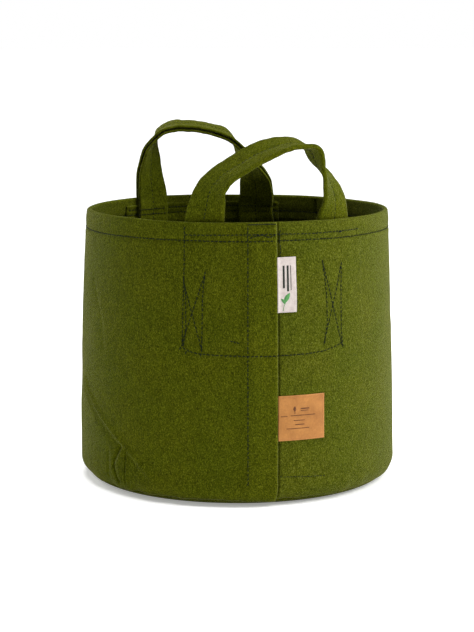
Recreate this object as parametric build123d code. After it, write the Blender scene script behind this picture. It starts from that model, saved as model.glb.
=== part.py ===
from build123d import *
import os
from math import asin, atan2, cos, degrees, pi, radians, sin, sqrt

# Fabric grow bag: an open round bag of thick felt with two strap handles.
# Origin at the middle of the underside, +Z up, front handle towards -Y.
# Angles go round the bag in degrees, from the front (-Y) towards +X.
# The side seam is at the front, where one end of the wall panel laps the other.

# Bag body
rim_radius = 150.0        # outer radius at the rim
belly_bulge = 7.6         # how far the widest place stands out beyond the rim
bag_height = 270.0
foot_radius = 22.0        # rounding between the wall and the base
felt = 2.2                # thickness of the felt everywhere
hem_depth = 26.0          # width of the rim's turned-in hem
fold_gap = 0.3            # air between two layers of one folded sheet
hairline = 0.1            # air between two sewn pieces
base_seam_angle = 50.0    # where wall and base meet, below the foot's centre
base_allowance = 8.0      # width of the two edges turned into the bag

# Side seam
seam_edge = 1.2           # angle of the lap's free edge
lap_width = 30.0          # width of the strip that lies double
lap_step = 2.0            # how far the strip stands proud
topstitch_inset = 27.5    # from the lap's free edge to its topstitching
lap_end_angle = 3.0       # round the foot, from the lap's lower end to the base seam

# Reinforcement patches inside the wall, under the handles
patch_left = 33.0         # angle from the handle's middle to the left edge
patch_right = 38.0        # angle from the handle's middle to the right edge
patch_low = 143.0
patch_high = 262.0
jog_height = 5.0          # height in which an inner layer steps over the hem's edge

# Strap handles
strap_width = 37.0
leg_angle = 24.8          # angle from the handle's middle to each of its legs
rear_turn = 182.6         # where the rear handle is sewn, a little past opposite
tail_low = 149.0          # where the strap ends inside the bag
pivot_rise = 6.0          # height of the fold line above the rim
pivot_gap = 0.7           # air between the tail and the loop at the fold line
row_start = 5.0           # from the fold line to the loop's own stitching
leg_rise = 22.0           # straight part of each leg above the fold line
arch_rise = 45.0          # from the top of the legs to the middle of the arch
crown_width = 20.0        # the strap's width at the top, where it is folded
crown_thickness = 12.0
arch_steps = 12

# Labels, each caught in the side seam by one edge
tag_width = 18.5
tag_low = 185.0
tag_high = 237.0
tag_thickness = 0.8
tag_gap = 0.5             # air between the tag and the wall
label_width = 47.5
label_low = 63.5
label_high = 106.4
label_thickness = 1.2

# Stitching: a row of stitches is drawn as one thin strip
thread_width = 0.8
thread_proud = 0.4        # how far it stands off the felt
hem_row = 252.0
top_row = 257.5
patch_row_inset = 3.5     # from a patch's edges to its stitching
box_half_width = 11.0     # half the width of the crossed box on each leg
box_low = 150.5
box_high = 224.0
box_shift = 1.0           # angle by which the boxes are sewn off their legs
crossing_gap = 0.6        # air round the topstitching where the patch's row meets it
foot_row = 27.5
foot_row_width = 50.0
knot_row_low = 235.0      # lower end of the stitches beside the lap's edge
knot_row_offset = 2.5     # from the lap's edge to those stitches
label_row_inset = 2.0
base_row_inset = 2.5      # from the turned-in edges to the row that joins them
slant_steps = 6           # straight pieces in a slanted row

# The wall's outline is one large arc that stands upright where the foot begins.
belly_radius = rim_radius + belly_bulge
wall_arc = ((bag_height - foot_radius) ** 2 + belly_bulge**2) / (2 * belly_bulge)
arc_centre = belly_radius - wall_arc
foot_centre = belly_radius - foot_radius
foot_inner = foot_radius - felt
seam_line = radians(base_seam_angle)
hem_low = bag_height - hem_depth
hem_stack = 2 * felt + fold_gap
strap = 2 * felt
pivot_height = bag_height + pivot_rise


def wall_radius(z, inset=0.0):
    """Radius at height z of the wall's outer face, or of a layer inside it."""
    return arc_centre + sqrt((wall_arc - inset) ** 2 - (z - foot_radius) ** 2)


def wall_point(z, inset):
    return (wall_radius(z, inset), 0, z)


def wall_line(start, end, inset):
    """The wall's arc at one inset, between two heights."""
    heights = [start, (start + end) / 2, end]
    return ThreePointArc(*[wall_point(z, inset) for z in heights])


def foot_point(distance, angle, shift=0.0):
    """A point of the rounded foot, at an angle below its centre, shifted along the arc."""
    r = foot_centre + distance * cos(angle) + shift * sin(angle)
    z = foot_radius - distance * sin(angle) + shift * cos(angle)
    return (r, 0, z)


def foot_line(start, end, distance):
    """The foot's arc at one distance from its centre, between two angles."""
    angles = [start, (start + end) / 2, end]
    return ThreePointArc(*[foot_point(distance, a) for a in angles])


def run(*points):
    """Straight lines from point to point."""
    return [Line(a, b) for a, b in zip(points[:-1], points[1:])]


def turned(outline, start=0.0, end=360.0):
    """Closes an outline in the XZ plane and turns it round the bag between two angles."""
    closing = Line(outline[-1] @ 1, outline[0] @ 0)
    face = make_face([*outline, closing])
    return Rot(0, 0, start - 90) * revolve(face, Axis.Z, end - start)


def band(low, high, outer, inner, start=0.0, end=360.0):
    """A curved plate that follows the wall between two heights, insets and angles."""
    outline = [
        wall_line(low, high, outer),
        Line(wall_point(high, outer), wall_point(high, inner)),
        wall_line(high, low, inner),
    ]
    return turned(outline, start, end)


def wall_angle(length, z):
    """The angle that a length takes up round the wall at height z."""
    return degrees(length / wall_radius(z))


lap_start = seam_edge - wall_angle(lap_width, bag_height / 2)
topstitch = seam_edge - wall_angle(topstitch_inset, bag_height / 2)


# Wall and base

def wall_panel():
    """One sheet of felt: wall, turned-in hem, lapped side seam and lower seam edge."""
    fold_inset = felt + fold_gap / 2
    fold_z = bag_height - fold_inset
    fold_r = wall_radius(fold_z, fold_inset)
    shoulder = seam_line - asin(felt / foot_inner)
    edge = foot_inner - base_allowance
    outline = [
        foot_line(seam_line, 0, foot_radius),
        wall_line(foot_radius, fold_z, 0),
        ThreePointArc(
            wall_point(fold_z, 0),
            (fold_r, 0, bag_height),
            wall_point(fold_z, hem_stack),
        ),
        wall_line(fold_z, hem_low, hem_stack),
        *run(wall_point(hem_low, hem_stack), wall_point(hem_low, felt + fold_gap)),
        wall_line(hem_low, fold_z, felt + fold_gap),
        ThreePointArc(
            wall_point(fold_z, felt + fold_gap),
            (fold_r, 0, fold_z + fold_gap / 2),
            wall_point(fold_z, felt),
        ),
        wall_line(fold_z, foot_radius, felt),
        foot_line(0, shoulder, foot_inner),
        *run(
            foot_point(foot_inner, shoulder),
            foot_point(edge, seam_line, felt),
            foot_point(edge, seam_line),
        ),
    ]
    return turned(outline) + seam_lap()


def seam_lap():
    """The strip where the panel's end lies over the allowance of the side seam."""
    low_angle = seam_line - radians(lap_end_angle)
    bury = felt / 2
    high = bag_height - felt
    outline = [
        foot_line(low_angle, 0, foot_radius + lap_step),
        wall_line(foot_radius, high, -lap_step),
        *run(wall_point(high, -lap_step), wall_point(high, bury)),
        wall_line(high, foot_radius, bury),
        foot_line(0, low_angle, foot_radius - bury),
    ]
    return turned(outline, lap_start, seam_edge)


def base_panel():
    """The round base: flat, rounded up to the seam, with its edge turned in."""
    edge = foot_inner - base_allowance
    outside = seam_line + asin(hairline / foot_radius)
    shoulder = seam_line + asin((felt + hairline) / foot_inner)
    outline = [
        *run((0, 0, 0), foot_point(foot_radius, pi / 2)),
        foot_line(pi / 2, outside, foot_radius),
        *run(
            foot_point(foot_radius, outside),
            foot_point(edge, seam_line, -hairline),
            foot_point(edge, seam_line, -hairline - felt),
            foot_point(foot_inner, shoulder),
        ),
        foot_line(shoulder, pi / 2, foot_inner),
        *run(foot_point(foot_inner, pi / 2), (0, 0, felt)),
    ]
    return turned(outline)


# Layers sewn to the inside of the wall

def inner_layer(low, high, depth, thickness, start, end):
    """A plate that lies on the wall's inside and steps inwards over the hem."""
    below = felt + depth
    above = hem_stack + depth
    jog_low = hem_low - jog_height
    jog_high = hem_low - hairline
    outline = [
        wall_line(low, jog_low, below),
        *run(wall_point(jog_low, below), wall_point(jog_high, above)),
        wall_line(jog_high, high, above),
        *run(wall_point(high, above), wall_point(high, above + thickness)),
        wall_line(high, jog_high, above + thickness),
        *run(wall_point(jog_high, above + thickness), wall_point(jog_low, below + thickness)),
        wall_line(jog_low, low, below + thickness),
    ]
    return turned(outline, start, end)


def reinforcement_patch():
    return inner_layer(patch_low, patch_high, hairline, felt, -patch_left, patch_right)


tail_depth = felt + 2 * hairline
strap_inset = hem_stack + tail_depth + strap / 2
strap_radius = wall_radius(bag_height, strap_inset)
leg_x = strap_radius * sin(radians(leg_angle))
pivot_y = -strap_radius * cos(radians(leg_angle))


def strap_section(width, thickness, height, turn):
    """A cross-section of the strap at its leg, turned about the upright direction."""
    return Pos(leg_x, pivot_y, height) * Rot(0, 0, turn) * Rectangle(width, thickness)


def right_tail():
    """The end of the strap inside the bag, twisted square to the fold line at its top."""
    half = wall_angle(strap_width / 2, bag_height)
    start, end = leg_angle - half, leg_angle + half
    plate = inner_layer(tail_low, bag_height, tail_depth, strap, start, end)
    neck_low = strap_section(strap_width - felt, strap - felt / 2, bag_height - felt, leg_angle)
    neck_high = strap_section(strap_width, strap, pivot_height - strap / 2 - pivot_gap, 0)
    neck = loft([neck_low.face(), neck_high.face()], ruled=True)
    return plate + neck


def left_tail():
    """The mirror image of the right tail."""
    return mirror(right_tail(), about=Plane.YZ)


def loop_stations(leg_low):
    """Centre, direction and place (0 on the legs, 1 on top) of the strap along its loop."""
    stations = [(leg_x, leg_low, 90.0, 0.0)]
    arch_z = pivot_height + leg_rise
    for step in range(arch_steps + 1):
        t = pi * step / arch_steps
        x = leg_x * cos(t)
        z = arch_z + arch_rise * sin(t)
        heading = degrees(atan2(arch_rise * cos(t), -leg_x * sin(t)))
        stations.append((x, z, heading, sin(t)))
    stations.append((-leg_x, leg_low, -90.0, 0.0))
    return stations


def along_loop(leg_low, width_of, thickness_of, offset_of):
    """Lofts a rectangle along the loop. Its sizes are functions of 0 on the legs, 1 on top."""
    faces = []
    for x, z, heading, share in loop_stations(leg_low):
        place = Plane(
            origin=(x, pivot_y + offset_of(share), z),
            x_dir=(sin(radians(heading)), 0, -cos(radians(heading))),
            z_dir=(cos(radians(heading)), 0, sin(radians(heading))),
        )
        faces.append((place * Rectangle(width_of(share), thickness_of(share))).face())
    return loft(faces, ruled=True)


def loop_width(share):
    return strap_width + (crown_width - strap_width) * share


def loop_thickness(share):
    return strap + (crown_thickness - strap) * share**2


def handle_loop():
    """The strap above the fold line, its two lower ends rounded about that line."""
    loop = along_loop(pivot_height, loop_width, loop_thickness, lambda share: 0.0)
    for x in (-leg_x, leg_x):
        loop += Pos(x, pivot_y, pivot_height) * Rot(0, 90, 0) * Cylinder(strap / 2, strap_width)
    return loop


def loop_stitching():
    """The row along the middle of the strap, on its outer and its inner face."""
    rows = []
    for side in (-1, 1):
        rows.append(
            along_loop(
                pivot_height + row_start,
                lambda share: thread_width,
                lambda share: thread_proud,
                lambda share: side * (loop_thickness(share) / 2 + hairline + thread_proud / 2),
            )
        )
    return Compound(children=rows)


# Labels

def woven_tag():
    """A folded ribbon that hangs free from the edge of the lap."""
    start = seam_edge + wall_angle(tag_gap, tag_low)
    end = start + wall_angle(tag_width, tag_low)
    return band(tag_low, tag_high, -tag_gap - tag_thickness, -tag_gap, start, end)


label_start = seam_edge + wall_angle(hairline, label_low)
label_end = seam_edge + wall_angle(label_width, label_low)


def leather_label():
    outer = -hairline - label_thickness
    return band(label_low, label_high, outer, -hairline, label_start, label_end)


# Stitching on the outside of the wall

def row_across(height, start, end, step=0.0):
    """A level row of stitches, on the wall or on a surface that stands proud of it."""
    face = -step - hairline
    half = thread_width / 2
    return band(height - half, height + half, face - thread_proud, face, start, end)


def row_up(angle, low, high, step=0.0):
    """An upright row of stitches."""
    face = -step - hairline
    half = wall_angle(thread_width / 2, low)
    return band(low, high, face - thread_proud, face, angle - half, angle + half)


def rows_over_lap(height, start, end):
    """A level row that climbs over the seam's lap: one piece on it and one on each side."""
    air = wall_angle(hairline, height)
    return [
        row_across(height, start, lap_start - air),
        row_across(height, lap_start, seam_edge, lap_step),
        row_across(height, seam_edge + air, end),
    ]


def slanted_row(start, end):
    """A straight row between two points of the wall, each given as angle and height."""
    inset = -hairline - thread_proud / 2
    across = radians(end[0] - start[0]) * wall_radius(start[1])
    slope = degrees(atan2(end[1] - start[1], across))
    faces = []
    for step in range(slant_steps + 1):
        share = step / slant_steps
        angle = start[0] + (end[0] - start[0]) * share
        height = start[1] + (end[1] - start[1]) * share
        place = Rot(0, 0, angle) * Pos(0, -wall_radius(height, inset), height)
        place *= Rot(0, 90 - slope, 0)
        faces.append((place * Rectangle(thread_width, thread_proud)).face())
    return loft(faces, ruled=True)


def hem_stitching():
    """The row that holds the hem, right round the bag."""
    air = wall_angle(hairline, hem_row)
    ring = row_across(hem_row, seam_edge + air, lap_start - air + 360)
    return Compound(children=[ring, row_across(hem_row, lap_start, seam_edge, lap_step)])


def side_seam_stitching():
    """The long row through the lap, and the short one beside its free edge."""
    beside = seam_edge + wall_angle(knot_row_offset, knot_row_low)
    below_hem = hem_row - thread_width
    return Compound(
        children=[
            row_up(topstitch, foot_radius, below_hem, lap_step),
            row_up(beside, knot_row_low, below_hem),
        ]
    )


def rim_tack():
    """A row across the top of the lap that closes the seam at the rim."""
    return row_across(bag_height - hem_stack, topstitch, seam_edge, lap_step)


def base_seam_stitching():
    """The ring that joins the two edges turned into the bag, on the wall's side."""
    distance = foot_inner - base_allowance + base_row_inset
    face = felt + hairline
    outline = run(
        foot_point(distance, seam_line, face),
        foot_point(distance, seam_line, face + thread_proud),
        foot_point(distance + thread_width, seam_line, face + thread_proud),
        foot_point(distance + thread_width, seam_line, face),
    )
    return turned(outline)


def patch_stitching(over_lap):
    """The level rows and the left edge's row that hold one patch to the wall."""
    left = wall_angle(patch_row_inset, patch_low) - patch_left
    right = patch_right - wall_angle(patch_row_inset, patch_low)
    low = patch_low + patch_row_inset
    if over_lap:
        rows = rows_over_lap(low, left, right) + rows_over_lap(top_row, left, right)
        half = thread_width / 2 + crossing_gap
        around = wall_angle(half, low)
        gap = band(low - half, low + half, -2 * lap_step, 0, topstitch - around, topstitch + around)
        rows[1] -= gap
    else:
        rows = [row_across(low, left, right), row_across(top_row, left, right)]
    rows.append(row_up(left, low + thread_width, hem_row - thread_width))
    return Compound(children=[solid for row in rows for solid in row.solids()])


def box_stitching(centre):
    """The box with a cross through it that holds one leg of a handle."""
    half = wall_angle(box_half_width, box_low)
    left, right = centre - half, centre + half
    box = row_across(box_high, left, right)
    box += row_across(box_low, left, right)
    box += row_up(left, box_low, box_high)
    box += row_up(right, box_low, box_high)
    box += slanted_row((left, box_low), (right, box_high))
    box += slanted_row((left, box_high), (right, box_low))
    return box


def label_stitching():
    """The row round the leather label's three free sides."""
    inset = wall_angle(label_row_inset, label_low)
    right = label_end - inset
    top = label_high - label_row_inset
    bottom = label_low + label_row_inset
    ring = row_across(top, label_start, right, label_thickness + hairline)
    ring += row_across(bottom, label_start, right, label_thickness + hairline)
    ring += row_up(right, bottom, top, label_thickness + hairline)
    return ring


def foot_stitching():
    """A short level row near the foot, beside the lap."""
    start = seam_edge + wall_angle(hairline, foot_row)
    return row_across(foot_row, start, start + wall_angle(foot_row_width, foot_row))


def build():
    """Every separate piece of the bag by its name."""
    front = {
        "handle_loop": handle_loop(),
        "handle_left_tail": left_tail(),
        "handle_right_tail": right_tail(),
        "handle_stitching": loop_stitching(),
        "reinforcement_patch": reinforcement_patch(),
        "left_box_stitching": box_stitching(-leg_angle - box_shift),
        "right_box_stitching": box_stitching(leg_angle - box_shift),
    }
    pieces = {}
    for name, solid in front.items():
        pieces["front_" + name] = solid
        pieces["rear_" + name] = Rot(0, 0, rear_turn) * solid
    pieces["front_patch_stitching"] = patch_stitching(over_lap=True)
    pieces["rear_patch_stitching"] = Rot(0, 0, rear_turn) * patch_stitching(over_lap=False)
    pieces["wall_panel"] = wall_panel()
    pieces["base_panel"] = base_panel()
    pieces["woven_tag"] = woven_tag()
    pieces["leather_label"] = leather_label()
    pieces["hem_stitching"] = hem_stitching()
    pieces["side_seam_stitching"] = side_seam_stitching()
    pieces["rim_tack_stitching"] = rim_tack()
    pieces["base_seam_stitching"] = base_seam_stitching()
    pieces["label_stitching"] = label_stitching()
    pieces["foot_stitching"] = foot_stitching()
    return pieces


os.makedirs("parts", exist_ok=True)
for name, solid in build().items():
    export_step(solid, f"parts/{name}.step")
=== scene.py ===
import math

import bpy
import numpy as np
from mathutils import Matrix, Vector


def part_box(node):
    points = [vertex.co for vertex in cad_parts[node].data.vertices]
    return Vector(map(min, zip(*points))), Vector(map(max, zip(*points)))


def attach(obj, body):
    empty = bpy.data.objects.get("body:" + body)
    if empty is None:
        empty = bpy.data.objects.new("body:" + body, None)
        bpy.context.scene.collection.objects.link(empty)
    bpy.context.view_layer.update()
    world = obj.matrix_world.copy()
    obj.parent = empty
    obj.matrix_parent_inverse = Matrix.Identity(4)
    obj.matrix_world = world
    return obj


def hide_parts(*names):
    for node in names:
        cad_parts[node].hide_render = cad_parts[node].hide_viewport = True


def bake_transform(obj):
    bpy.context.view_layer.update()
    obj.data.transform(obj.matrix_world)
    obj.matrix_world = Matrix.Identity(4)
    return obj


# Fabric grow bag: a round bag of thick olive felt with two strap handles.
# Lengths are in millimetres until a mesh is made. Angles go round the bag in
# degrees, from the front (-Y) towards +X, and z is the height above the floor.

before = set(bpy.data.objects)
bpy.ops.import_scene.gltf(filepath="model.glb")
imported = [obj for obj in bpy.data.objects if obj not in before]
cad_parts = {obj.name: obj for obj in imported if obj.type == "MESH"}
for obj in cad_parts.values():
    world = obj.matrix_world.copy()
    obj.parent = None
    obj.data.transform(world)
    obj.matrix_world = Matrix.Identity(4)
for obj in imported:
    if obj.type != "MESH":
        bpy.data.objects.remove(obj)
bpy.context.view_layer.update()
wall_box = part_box("wall_panel")
MM = 0.001

# Sizes of the bag, as in the CAD model
bag_height = wall_box[1].z / MM
rim_radius = 150.0
belly_bulge = 7.6
foot_radius = 22.0
felt = 2.2
hem_depth = 26.0
fold_gap = 0.3
hairline = 0.1
base_seam_angle = math.radians(50.0)
base_allowance = 8.0
seam_edge = 1.2
lap_start = -9.8
topstitch = -9.2
lap_step = 2.0
patch_left = 33.0
patch_right = 38.0
patch_low = 143.0
patch_high = 262.0
strap_width = 37.0
leg_angle = 24.8
rear_turn = 182.6
tail_low = 149.0
tag_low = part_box("woven_tag")[0].z / MM
tag_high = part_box("woven_tag")[1].z / MM
tag_width = 18.5
label_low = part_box("leather_label")[0].z / MM
label_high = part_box("leather_label")[1].z / MM
label_width = 47.5
label_thickness = 1.2
tail_radius = 142.0        # of a strap's ends, inside the bag
tag_radius = 156.0
label_radius = 157.5
hem_step = 2.5             # what is sewn on inside steps in this far to pass over the hem

# Heights of the rows of stitches
hem_row = 252.0
top_row = 257.5
patch_row = 146.5
tail_row = 150.5
tack_row = 267.6

# Stitches
stitch_pitch = 4.1
stitch_length = 3.1
stitch_lift = 0.4          # above the bottom of the dimple that the row is drawn into
thread_radius = 0.38
thread_sides = 6

belly_radius = rim_radius + belly_bulge
wall_arc = ((bag_height - foot_radius) ** 2 + belly_bulge**2) / (2 * belly_bulge)
arc_centre = belly_radius - wall_arc
foot_centre = belly_radius - foot_radius
foot_inner = foot_radius - felt
hem_stack = 2 * felt + fold_gap
hem_low = bag_height - hem_depth
fold_inset = hem_stack / 2
degree = math.radians(1.0) * belly_radius


# Shapes of numbers

def wall_radius(z, inset=0.0):
    """Radius at height z of the wall's outer face, or of a layer inside it."""
    return arc_centre + np.sqrt((wall_arc - inset) ** 2 - (z - foot_radius) ** 2)


def ramp(value, low, high):
    """Smooth rise from 0 at low to 1 at high."""
    t = np.clip((value - low) / (high - low), 0.0, 1.0)
    return t * t * (3 - 2 * t)


def window(value, low, high, soft):
    """1 between low and high, falling to 0 over a soft edge outside them."""
    return ramp(value, low - soft, low) * (1 - ramp(value, high, high + soft))


def hump(value, centre, width):
    return np.exp(-(((value - centre) / width) ** 2))


def wrapped(angle):
    """The same angle between -180 and 180 degrees."""
    return (angle + 180) % 360 - 180


def spread(*values):
    """Numbers and arrays as float arrays of one shape."""
    return np.broadcast_arrays(*(np.asarray(value, float) for value in values))


def walk(steps):
    """Distance walked before and after each step."""
    return np.concatenate([[0.0], np.cumsum(steps)])


def unit(vectors):
    return vectors / np.linalg.norm(vectors, axis=1, keepdims=True)


def lumps(angle, height, size, seed):
    """Smooth noise between -1 and 1 round the bag, with lumps of about one size."""
    around = max(4, round(2 * math.pi * belly_radius / size))
    rows = int(600 / size) + 4
    table = np.random.default_rng(seed).uniform(-1.0, 1.0, (around, rows))
    u = np.asarray(angle, float) / 360.0 * around
    v = (np.asarray(height, float) + 100.0) / size
    i = np.floor(u).astype(int)
    j = np.clip(np.floor(v).astype(int), 0, rows - 2)
    a = u - i
    b = np.clip(v - j, 0.0, 1.0)
    a = a * a * (3 - 2 * a)
    b = b * b * (3 - 2 * b)
    left = table[i % around, j] * (1 - b) + table[i % around, j + 1] * b
    right = table[(i + 1) % around, j] * (1 - b) + table[(i + 1) % around, j + 1] * b
    return left * (1 - a) + right * a


def to_line(angle, height, start, end):
    """Distance in millimetres on the wall from points to a line between two points."""
    middle = (start[0] + end[0]) / 2
    px = wrapped(np.asarray(angle, float) - middle) * degree
    py = np.asarray(height, float) - start[1]
    dx = (end[0] - start[0]) * degree
    dy = end[1] - start[1]
    px = px - (start[0] - middle) * degree
    t = np.clip((px * dx + py * dy) / (dx * dx + dy * dy), 0.0, 1.0)
    return np.hypot(px - t * dx, py - t * dy)


def to_path(angle, height, path):
    """Distance from points to a path of several lines."""
    lines = [to_line(angle, height, start, end) for start, end in zip(path, path[1:])]
    return np.minimum.reduce(lines)


# Where the wall is sewn: paths of angle and height

def turned_path(path, turn):
    return [(angle + turn, height) for angle, height in path]


# Round a patch: its top row, its left edge and its lower edge
front_rows = [
    [(-31.8, 257.2), (-16, 257.8), (-2, 258.6), (14, 257.6), (36.9, 258.4)],
    [(-31.9, 265.5), (-31.7, 222), (-32.0, 186), (-32.2, 152.5)],
    [
        (-32.1, 152.0), (-29.6, 148.6), (-26.5, 146.6), (-20, 145.6), (-9, 145.0),
        (4, 144.8), (12, 145.2), (18.5, 146.4), (23.5, 149.2), (27.2, 153.0),
    ],
]
rear_rows = [
    [(-31.5, 257.6), (0, 257.9), (36.7, 257.3)],
    [(-31.7, 251), (-31.8, 147)],
    [(-31.7, 146.5), (0, 146.2), (36.7, 146.8)],
]
# Where a strap's end is sewn down: its left and right sides and the two lines of a cross
left_box = [
    [(-31.9, 217), (-31.0, 200), (-30.9, 168), (-31.8, 153)],
    [(-24.1, 224), (-24.9, 200), (-25.2, 147.5)],
    [(-31.9, 214), (-25.0, 149)],
    [(-32.2, 156), (-24.2, 221)],
]
right_box = [
    [(18.7, 233), (20.2, 200), (20.4, 172), (18.9, 152)],
    [(27.2, 229), (26.7, 205), (26.7, 160), (27.2, 147)],
    [(18.8, 230), (26.9, 149)],
    [(18.8, 153), (27.0, 226)],
]
rear_left_box = [
    [(-29.8, 222), (-29.5, 152)],
    [(-21.9, 220), (-21.8, 149)],
    [(-29.6, 220), (-22.0, 152)],
    [(-29.4, 151), (-22.1, 219)],
]
rear_right_box = [
    [(19.8, 224), (19.6, 151)],
    [(27.8, 221), (27.6, 149)],
    [(19.8, 222), (27.4, 151)],
    [(19.9, 152), (27.6, 219)],
]
seam_row = [(topstitch, 250.5), (topstitch - 0.1, 140), (topstitch, 22)]
knot_row = [(2.4, 262), (2.1, 252), (2.5, 244), (2.2, 236)]
foot_row = [(1.9, 29.0), (10, 27.6), (19.4, 26.2)]

sewn = [*front_rows, *left_box, *right_box, seam_row, knot_row, foot_row]
for rows in (rear_rows, rear_left_box, rear_right_box):
    sewn += [turned_path(path, rear_turn) for path in rows]

# Creases: path, height in millimetres (negative is a valley) and half width
creases = [
    ([(-87, 103), (-79.5, 90), (-57, 52), (-50.5, 38), (-44, 22)], 2.1, 1.9),
    ([(-88, 97), (-77, 78), (-60, 50), (-51, 33)], -1.2, 3.4),
    ([(-59.0, 49), (-62.8, 31), (-62.2, 24), (-60.3, 13)], -4.6, 1.1),
    ([(-57.6, 46), (-60.4, 31), (-58.4, 15)], 0.45, 1.6),
    ([(-56.2, 49), (-56.6, 14)], -2.2, 0.7),
    ([(-55.4, 48), (-55.8, 16)], 0.5, 1.0),
    ([(-65.5, 42), (-66.0, 16)], -0.8, 2.0),
    ([(-48.5, 40), (-47.5, 18)], -0.5, 1.8),
    ([(5, 251), (11, 236), (17.7, 218)], 0.8, 1.1),
    ([(6.8, 247), (12.5, 232)], -0.35, 2.0),
    ([(-49, 109), (-43, 102)], 0.45, 1.0),
    ([(-41, 118), (-36.5, 112)], 0.35, 1.0),
    ([(-78, 205), (-71, 168), (-69, 140)], -0.5, 3.5),
    ([(64, 214), (70, 190), (73, 160)], -0.6, 4.0),
    ([(48, 70), (58, 52), (62, 30)], 0.5, 3.0),
    ([(112, 96), (128, 60), (135, 24)], 0.8, 3.2),
    ([(-118, 70), (-109, 40), (-108, 18)], -0.9, 3.0),
    ([(-150, 240), (-143, 205)], 0.5, 2.4),
    ([(158, 118), (176, 84), (190, 36)], 0.6, 2.6),
    ([(232, 90), (226, 50), (229, 18)], -0.8, 3.0),
]


def sag(angle, height):
    """How far the whole cloth, both faces of it, stands off the true round wall."""
    waves = 0.95 * lumps(angle, height * 0.6, 95.0, 3)
    waves += 0.42 * lumps(angle, height, 34.0, 5)
    waves += 0.14 * lumps(angle, height, 11.0, 8)
    rim_calm = 1 - 0.55 * ramp(height, 225.0, 268.0)
    pucker = 0.8 * lumps(angle, height * 0.25, 13.0, 21) * (1 - ramp(height, 6.0, 36.0))
    folded = sum(size * hump(to_path(angle, height, path), 0.0, width) for path, size, width in creases)
    return waves * rim_calm + pucker + folded


def on_lap(angle):
    """1 where the seam's lap lies over the wall, 0 elsewhere."""
    turned = wrapped(np.asarray(angle, float))
    started = ramp(turned, lap_start - 2.2, lap_start + 0.5)
    return started * (1 - ramp(turned, seam_edge - 0.5, seam_edge + 0.2))


def relief(angle, height):
    """How far the outer face stands off the true round wall."""
    angle, height = spread(angle, height)
    turned = wrapped(angle)
    out = sag(angle, height)
    out = out + lap_step * on_lap(angle)
    out += 0.6 * hump(turned, seam_edge - 0.55, 0.4)
    out -= 1.7 * hump(turned, seam_edge + 0.42, 0.27) * ramp(height, 4.0, 12.0)
    out += 0.4 * hump(turned, topstitch + 2.4, 1.6) * ramp(height, 16, 30)
    out -= 0.75 * hump(height, hem_line(angle), 1.25)
    out += 0.45 * hump(height, 261.0, 5.5)
    out += 0.3 * hump(height, 247.6, 2.6)
    for turn in (0.0, rear_turn):
        over = window(wrapped(angle - turn), -patch_left + 1, patch_right - 1, 1.4)
        out += 0.35 * over * window(height, patch_low + 1, 250.0, 3.0)
    cut = sum(hump(to_path(angle, height, path), 0.0, 1.05) for path in sewn)
    return out - 0.5 * np.minimum(cut, 1.2)


def hem_line(angle):
    """Height of the hem's row of stitches, which wanders a little."""
    return hem_row + 0.5 * lumps(angle, 0.0, 40.0, 31)


def outward(angle):
    a = np.radians(angle)
    return np.stack([np.sin(a), -np.cos(a), np.zeros_like(a)], axis=-1)


def round_point(angle, r, height):
    a = np.radians(angle)
    return np.stack([r * np.sin(a), -r * np.cos(a), height + 0.0 * a], axis=-1)


def skin(angle, height, lift=0.0):
    """Points of the outer face, lifted off it, and the outward directions there."""
    angle, height = spread(angle, height)
    r = wall_radius(height) + relief(angle, height) + lift
    return round_point(angle, r, height), outward(angle)


def over_hem(height, end=-0.2):
    """How far the cloth inside the wall has stepped in to pass over the hem."""
    return hem_step * ramp(height, hem_low - 4.0, hem_low + end)


def stack_inset(angle, height):
    """Depth below the wall's outer face of the innermost layer inside the bag."""
    angle, height = spread(angle, height)
    step = over_hem(height)
    depth = felt + (hem_stack - felt) * ramp(height, hem_low - 0.3, hem_low + 0.1)
    strap_half = math.degrees(strap_width / 2 / tail_radius)
    for turn in (0.0, rear_turn):
        side = wrapped(angle - turn)
        patched = (side > -patch_left) & (side < patch_right)
        patched = patched & (height > patch_low) & (height < patch_high)
        depth = np.where(patched, felt + step + hairline + felt, depth)
        strapped = (np.abs(np.abs(side) - leg_angle) < strap_half) & (height > tail_low)
        depth = np.where(strapped, felt + step + 3 * hairline + 3 * felt + fold_gap, depth)
    return depth


def lining(angle, height, lift=0.0):
    """Points of the innermost face, lifted off it, and the directions into the bag."""
    angle, height = np.asarray(angle, float), np.asarray(height, float)
    r = wall_radius(height) - stack_inset(angle, height) + sag(angle, height) - lift
    return round_point(angle, r, height), -outward(angle)


def foot_point(distance, angle, shift=0.0):
    """Radius and height in the foot, at a distance from the centre of its rounding and an
    angle below level. A shift moves the point square to that line, upwards."""
    r = foot_centre + distance * math.cos(angle) + shift * math.sin(angle)
    z = foot_radius - distance * math.sin(angle) + shift * math.cos(angle)
    return r, z


# Making meshes

def add_object(name, data):
    made = bpy.data.objects.new(name, data)
    bpy.context.scene.collection.objects.link(made)
    return made


def make_object(name, points, faces, material):
    """A smooth mesh object from points in millimetres."""
    mesh = bpy.data.meshes.new(name)
    mesh.from_pydata((np.asarray(points, float) * MM).tolist(), [], faces)
    mesh.update()
    mesh.shade_smooth()
    mesh.materials.append(material)
    return add_object(name, mesh)


def tube_faces(columns, rows, closed=False):
    """Quads round a tube whose points go row by row. A closed one joins its two ends."""
    low = np.arange(rows * columns).reshape(rows, columns)
    high = np.roll(low, -1, axis=0)
    quads = np.stack([low, np.roll(low, -1, axis=1), np.roll(high, -1, axis=1), high], axis=-1)
    return quads[: rows if closed else rows - 1].reshape(-1, 4).tolist()


def turned_over(faces):
    return [face[:1] + face[:0:-1] for face in faces]


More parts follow.
